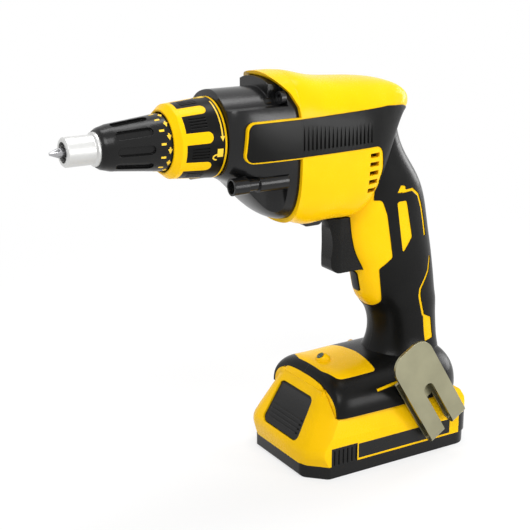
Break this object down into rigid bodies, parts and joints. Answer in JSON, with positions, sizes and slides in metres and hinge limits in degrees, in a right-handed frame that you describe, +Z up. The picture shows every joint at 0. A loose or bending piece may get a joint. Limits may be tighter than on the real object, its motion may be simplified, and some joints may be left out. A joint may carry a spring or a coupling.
{
  "type": "cordless drywall screwdriver",
  "caption": "Pistol grip cordless drywall screwdriver with a depth stop nose, lock collar, sprung clutch spindle, trigger, belt hook and a slide-on battery pack.",
  "frame": {"origin": "on the flat base of the battery pack, which the tool stands on, in the middle plane below the handle", "axes": "-X towards the bit, -Y towards the belt hook side, +Z up through the handle to the barrel"},
  "size_m": [0.2497, 0.0843, 0.231],
  "materials": {
    "yellow_plastic": "gloss moulded",
    "black_rubber": "satin overmould",
    "black_plastic": "fine texture",
    "black_casting": "black coated casting",
    "tool_steel": "satin",
    "black_screws": "black oxide",
    "bright_metal": "satin bright",
    "hook_steel": "brushed sheet",
    "brass": "plain",
    "circuit_board": "solder mask",
    "cell_sleeve": "shrink sleeve",
    "light_lens": "clear"
  },
  "bodies": {
    "housing": {"left_housing": "yellow_plastic", "right_housing": "yellow_plastic", "left_grip": "black_rubber", "right_grip": "black_rubber", "housing_screws": "black_screws", "gear_case": "black_casting", "gear_case_screws": "black_screws", "bearing_plate": "black_casting", "spindle_front_bearing": "tool_steel", "spindle_rear_bush": "brass", "thrust_washer": "tool_steel", "nose_seal": "black_rubber", "stator": "tool_steel", "stator_coils": "brass", "motor_front_bearing": "tool_steel", "motor_rear_bearing": "tool_steel", "control_module": "black_plastic", "trigger_switch": "black_plastic", "trigger_spring": "tool_steel", "lock_button_spring": "tool_steel", "foot_panel": "yellow_plastic", "work_light_lens": "light_lens", "work_light_board": "circuit_board", "terminal_block": "black_plastic", "terminal_blades": "brass", "belt_hook": "hook_steel", "belt_hook_screw": "black_screws", "hook_inserts": "brass"},
    "lock_collar": {"lock_collar": "yellow_plastic", "collar_grip": "black_rubber"},
    "nose": {"nose_carrier": "black_plastic"},
    "depth_cone": {"depth_cone": "black_plastic"},
    "depth_locator": {"depth_locator": "bright_metal"},
    "clutch_gear": {"clutch_gear": "tool_steel", "clutch_spring": "tool_steel"},
    "output_spindle": {"output_spindle": "tool_steel", "bit_holder": "tool_steel", "bit_magnet": "tool_steel", "bit_retaining_ring": "tool_steel", "screwdriver_bit": "tool_steel"},
    "rotor": {"rotor_shaft": "tool_steel", "motor_pinion": "tool_steel", "rotor_core": "tool_steel", "rotor_magnets": "tool_steel", "motor_fan": "black_plastic"},
    "trigger": {"trigger": "black_plastic"},
    "direction_button": {"direction_button": "black_plastic"},
    "lock_on_button": {"lock_on_button": "black_plastic"},
    "battery_pack": {"battery_tray": "black_plastic", "battery_shell": "yellow_plastic", "battery_cells": "cell_sleeve", "cell_holders": "black_plastic", "battery_board": "circuit_board", "battery_contacts": "brass", "battery_labels": "black_plastic", "battery_screws": "black_screws", "release_spring": "tool_steel"},
    "release_button": {"release_button": "black_plastic"}
  },
  "joints": [
    {"name": "collar_lock", "type": "hinge", "parent": "housing", "child": "lock_collar", "pos_m": [-0.115, 0, 0.1984], "axis": [1, 0, 0], "range_deg": [0, 38]},
    {"name": "nose_pull", "type": "slide", "parent": "housing", "child": "nose", "axis": [-1, 0, 0], "range_m": [0, 0.06]},
    {"name": "cone_turn", "type": "hinge", "parent": "nose", "child": "depth_cone", "pos_m": [-0.15, 0, 0.1984], "axis": [1, 0, 0], "range_deg": [0, 360]},
    {"name": "locator_depth", "type": "slide", "parent": "nose", "child": "depth_locator", "axis": [-1, 0, 0], "range_m": [0, 0.005]},
    {"name": "gear_spin", "type": "hinge", "parent": "housing", "child": "clutch_gear", "pos_m": [-0.0765, 0, 0.1984], "axis": [1, 0, 0], "continuous": true},
    {"name": "clutch_push", "type": "slide", "parent": "clutch_gear", "child": "output_spindle", "axis": [1, 0, 0], "range_m": [0, 0.0035], "stiffness_N_per_m": 2500, "deforming": ["clutch_spring"]},
    {"name": "rotor_spin", "type": "hinge", "parent": "housing", "child": "rotor", "pos_m": [-0.04, 0, 0.1704], "axis": [1, 0, 0], "continuous": true},
    {"name": "trigger_pull", "type": "slide", "parent": "housing", "child": "trigger", "axis": [1, 0, 0], "range_m": [0, 0.006], "stiffness_N_per_m": 1200, "deforming": ["trigger_spring"]},
    {"name": "direction_shift", "type": "slide", "parent": "housing", "child": "direction_button", "axis": [0, 1, 0], "range_m": [-0.0035, 0.0035]},
    {"name": "lock_on_push", "type": "slide", "parent": "housing", "child": "lock_on_button", "axis": [1, 0, 0], "range_m": [0, 0.0024], "stiffness_N_per_m": 900, "deforming": ["lock_button_spring"]},
    {"name": "battery_slide", "type": "slide", "parent": "housing", "child": "battery_pack", "axis": [-1, 0, 0], "range_m": [0, 0.1]},
    {"name": "release_press", "type": "hinge", "parent": "battery_pack", "child": "release_button", "pos_m": [-0.0448, 0, 0.04106], "axis": [0, -1, 0], "range_deg": [0, 7], "stiffness_Nm_per_rad": 0.25, "deforming": ["release_spring"]}
  ],
  "couplings": [
    {"joint": "rotor_spin", "follows": "gear_spin", "ratio": -4}
  ]
}
